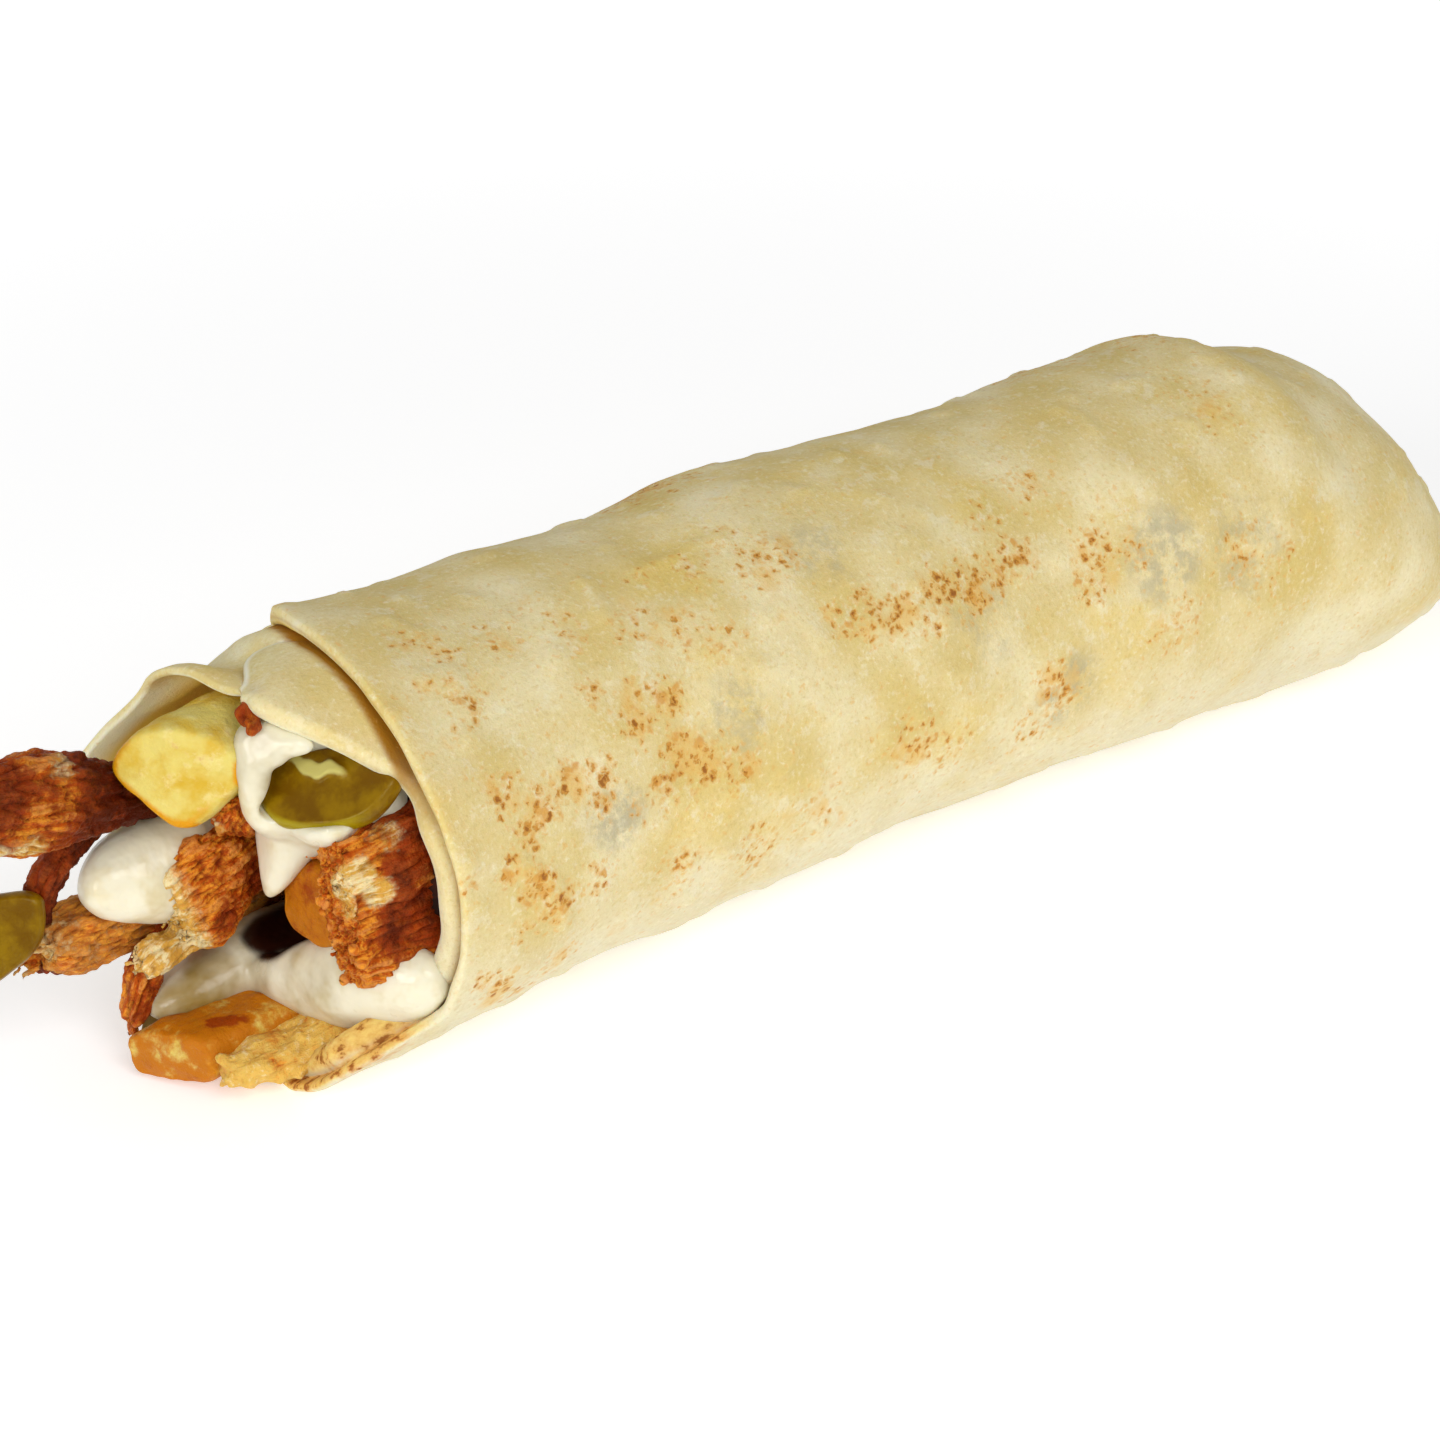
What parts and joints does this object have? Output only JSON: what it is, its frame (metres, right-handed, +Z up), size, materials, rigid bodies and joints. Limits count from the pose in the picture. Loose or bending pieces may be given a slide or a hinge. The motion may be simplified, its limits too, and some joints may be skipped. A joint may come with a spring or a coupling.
{
  "type": "saj wrap",
  "caption": "Long rolled flatbread wrap lying on its side, open at one end with grilled chicken, thick fries, pickle and garlic sauce pushing out, tucked shut at the other.",
  "frame": {"origin": "middle of the base of the whole object's box, on the table it lies on", "axes": "+X along the roll from the open mouth to the tucked end, +Y away from the side that the picture shows, +Z up"},
  "size_m": [0.2488, 0.0566, 0.054],
  "materials": {
    "bread": "soft, floury, pale cream with toasted freckles",
    "sauce": "thick, smooth, glossy warm white",
    "chicken": "charred, fibrous, slightly oily orange-brown",
    "fry": "fried golden skin with browned edges",
    "pickle": "wet, translucent olive green"
  },
  "bodies": {
    "root": {"flatbread": "bread", "garlic_sauce": "sauce", "chicken_left": "chicken", "chicken_middle": "chicken", "chicken_low": "chicken", "chicken_shard": "chicken", "chicken_right": "chicken", "chicken_bottom": "chicken", "fry_top": "fry", "fry_middle": "fry", "fry_bottom": "fry", "pickle_top": "pickle", "pickle_left": "pickle", "pickle_tip": "pickle"}
  },
  "joints": []
}
